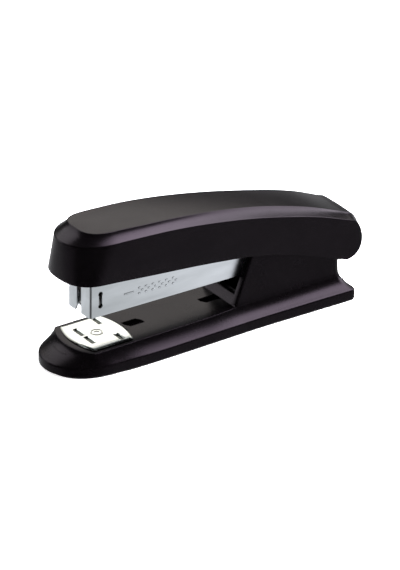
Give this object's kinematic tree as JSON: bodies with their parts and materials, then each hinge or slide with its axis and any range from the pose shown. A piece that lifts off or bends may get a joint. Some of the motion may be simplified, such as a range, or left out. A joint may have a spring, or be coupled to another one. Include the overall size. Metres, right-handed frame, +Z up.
{
  "type": "desktop stapler",
  "caption": "Desktop stapler with an arched handle cover over a sheet-metal magazine, hinged at the rear of a hollow flared base with a turning anvil at its nose.",
  "frame": {"origin": "middle of the stapler's overall length and width, on the surface that it stands on", "axes": "+Z up, +X towards the hinged rear end, so the nose with the anvil points to -X; +Y to the left of a user behind it"},
  "size_m": [0.1398, 0.0362, 0.057],
  "materials": {
    "black_shell": "satin moulded black plastic",
    "black_cover": "satin moulded black plastic",
    "sole_rubber": "matt black rubber",
    "button_plastic": "dark grey plastic",
    "slider_plastic": "dark plastic",
    "bright_chrome": "polished chrome plate",
    "magazine_steel": "bright nickel-plated sheet, fine rolling lines",
    "rail_steel": "zinc-plated sheet",
    "staple_steel": "galvanised wire",
    "black_steel": "black-coated pressed steel",
    "blade_steel": "dark hardened steel",
    "pin_steel": "ground steel",
    "spring_steel": "spring steel wire",
    "screw_steel": "zinc-plated screws"
  },
  "bodies": {
    "base": {"base_shell": "black_shell", "base_frame": "black_steel", "sole_pad": "sole_rubber", "base_screws": "screw_steel", "hinge_pin": "pin_steel", "return_spring": "spring_steel", "spring_rivets": "pin_steel", "anvil_spring": "spring_steel"},
    "anvil_button": {"anvil_button": "button_plastic"},
    "anvil": {"anvil_plate": "bright_chrome", "anvil_stem": "pin_steel"},
    "magazine": {"magazine_housing": "magazine_steel", "staple_rail": "rail_steel", "staple_strip": "staple_steel", "guide_rod": "pin_steel", "pusher_spring": "spring_steel", "rod_block": "slider_plastic", "block_rivet": "pin_steel", "handle_spring": "spring_steel"},
    "pusher": {"pusher_saddle": "rail_steel", "pusher_slider": "slider_plastic"},
    "handle": {"handle_cover": "black_cover", "handle_frame": "black_steel", "driver_blade": "blade_steel", "driver_rivets": "pin_steel", "cover_screws": "screw_steel"}
  },
  "joints": [
    {"name": "magazine_hinge", "type": "hinge", "parent": "base", "child": "magazine", "pos_m": [0.05065, 0, 0.027], "axis": [0, 1, 0], "range_deg": [-6, 0], "stiffness_Nm_per_rad": 1, "springref_deg": 8.59, "deforming": ["return_spring"]},
    {"name": "handle_hinge", "type": "hinge", "parent": "magazine", "child": "handle", "pos_m": [0.05065, 0, 0.027], "axis": [0, 1, 0], "range_deg": [-4.3, 28], "stiffness_Nm_per_rad": 1, "springref_deg": 1.15, "deforming": ["handle_spring"]},
    {"name": "pusher_slide", "type": "slide", "parent": "magazine", "child": "pusher", "axis": [0.9999, 0, -0.014], "range_m": [0, 0.03], "stiffness_N_per_m": 30, "springref_m": -0.03, "deforming": ["pusher_spring"]},
    {"name": "anvil_lift", "type": "slide", "parent": "base", "child": "anvil_button", "axis": [0, 0, 1], "range_m": [0, 0.003], "stiffness_N_per_m": 200, "springref_m": -0.003, "deforming": ["anvil_spring"]},
    {"name": "anvil_turn", "type": "hinge", "parent": "anvil_button", "child": "anvil", "pos_m": [-0.04635, 0, 0.009], "axis": [0, 0, 1], "range_deg": [0, 180]}
  ]
}
